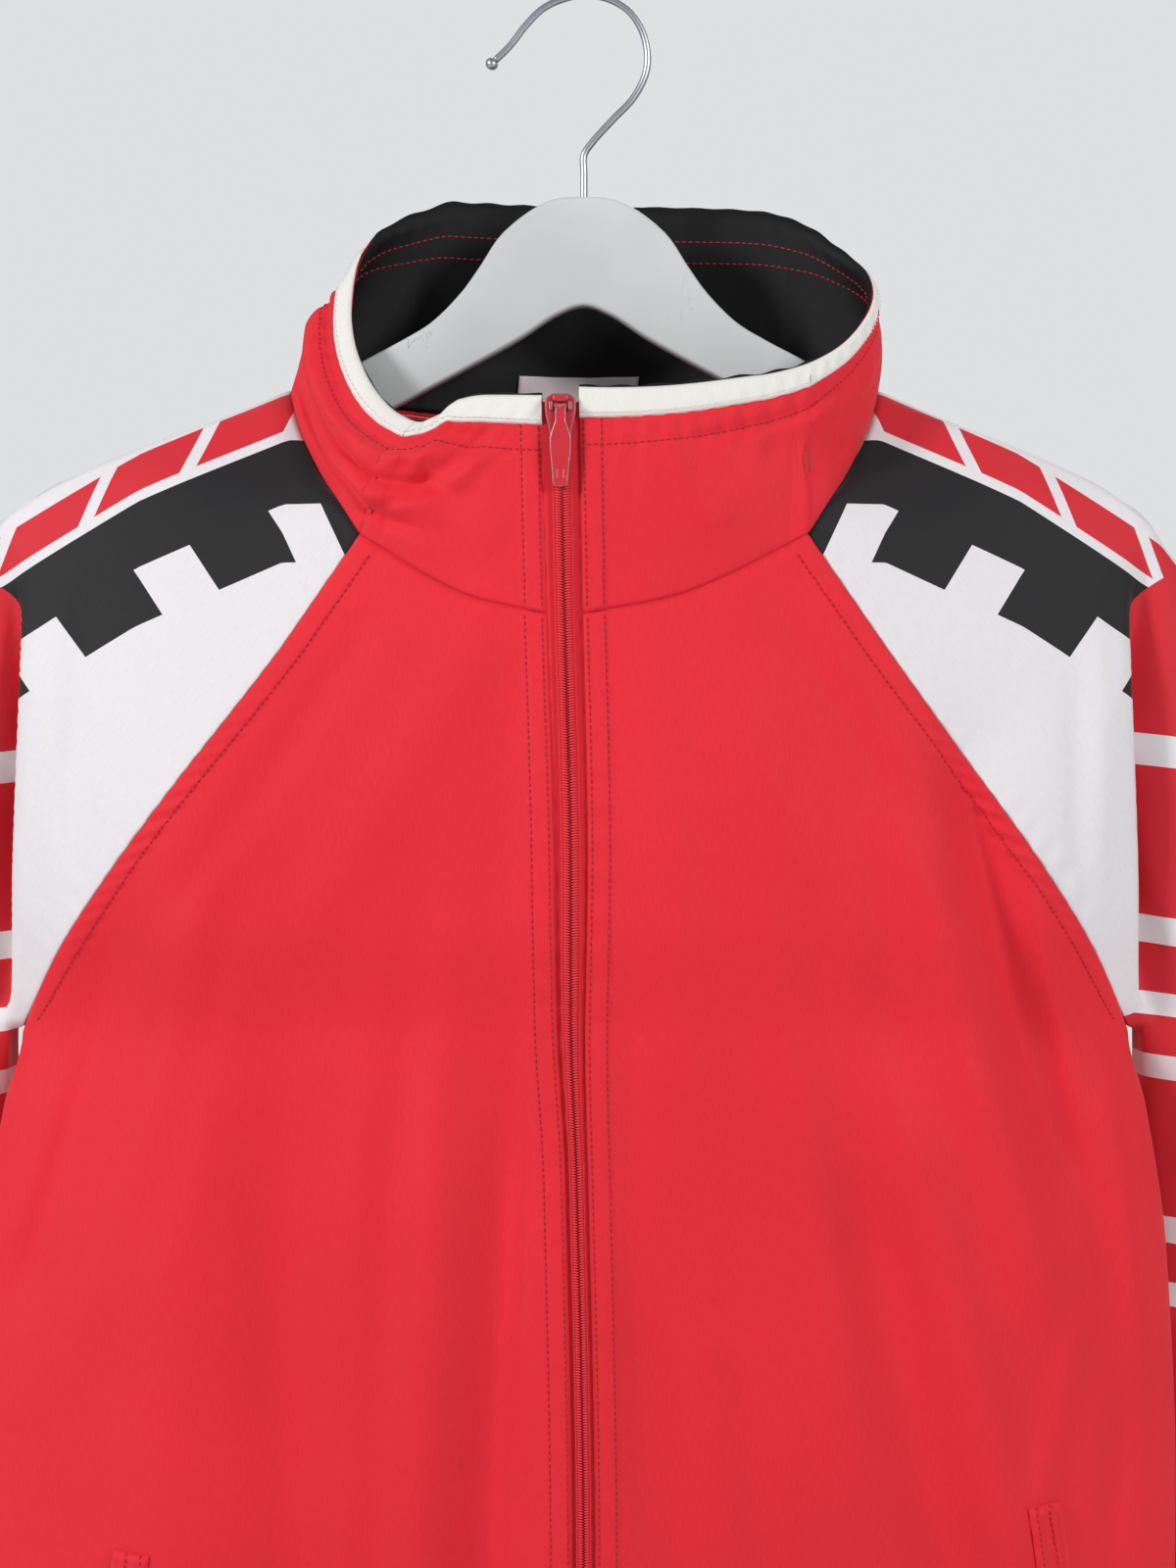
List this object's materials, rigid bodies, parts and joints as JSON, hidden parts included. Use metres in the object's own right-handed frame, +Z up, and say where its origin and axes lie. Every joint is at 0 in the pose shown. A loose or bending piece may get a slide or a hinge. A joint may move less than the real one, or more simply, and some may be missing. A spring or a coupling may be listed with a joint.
{
  "type": "track jacket on a hanger",
  "caption": "Zipped raglan track jacket with a stand collar, hanging on a flat hanger with a wire hook.",
  "frame": {"origin": "top inside of the hook's bend, where a peg or rail carries the hanger", "axes": "+Z up, +X to the viewer's right, the front of the jacket faces -Y and its back faces the wall"},
  "size_m": [0.6852, 0.1352, 0.9034],
  "materials": {
    "red_cloth": "fine weave with a slight sheen",
    "printed_cloth": "white weave printed with a plain band and hoops",
    "black_lining": "matt black weave",
    "white_trim": "folded white edge trim",
    "label_cloth": "plain satin label",
    "zip_teeth": "nylon coil",
    "painted_slider": "worn paint over grey metal",
    "hanger_plastic": "satin",
    "hook_chrome": "polished"
  },
  "bodies": {
    "jacket": {"front_right": "red_cloth", "front_left": "red_cloth", "back": "red_cloth", "sleeve_cap_right": "printed_cloth", "sleeve_arm_right": "printed_cloth", "sleeve_cap_left": "printed_cloth", "sleeve_arm_left": "printed_cloth", "collar_outer": "red_cloth", "collar_lining": "black_lining", "collar_trim_right": "white_trim", "collar_trim_left": "white_trim", "neck_label": "label_cloth", "zip_chain": "zip_teeth", "zip_tape_right": "red_cloth", "zip_tape_left": "red_cloth", "zip_slider": "painted_slider", "pocket_welt_right": "red_cloth", "pocket_welt_left": "red_cloth", "hem_band": "red_cloth", "cuff_right": "red_cloth", "cuff_left": "red_cloth", "hanger_body": "hanger_plastic", "hanger_hook": "hook_chrome", "hook_tip": "hook_chrome"},
    "pull_tab": {"zip_pull": "painted_slider"}
  },
  "joints": [
    {"name": "pull_tab_swing", "type": "hinge", "parent": "jacket", "child": "pull_tab", "pos_m": [-0.01, -0.0673, -0.1895], "axis": [-1, 0, 0], "range_deg": [0, 150]}
  ]
}
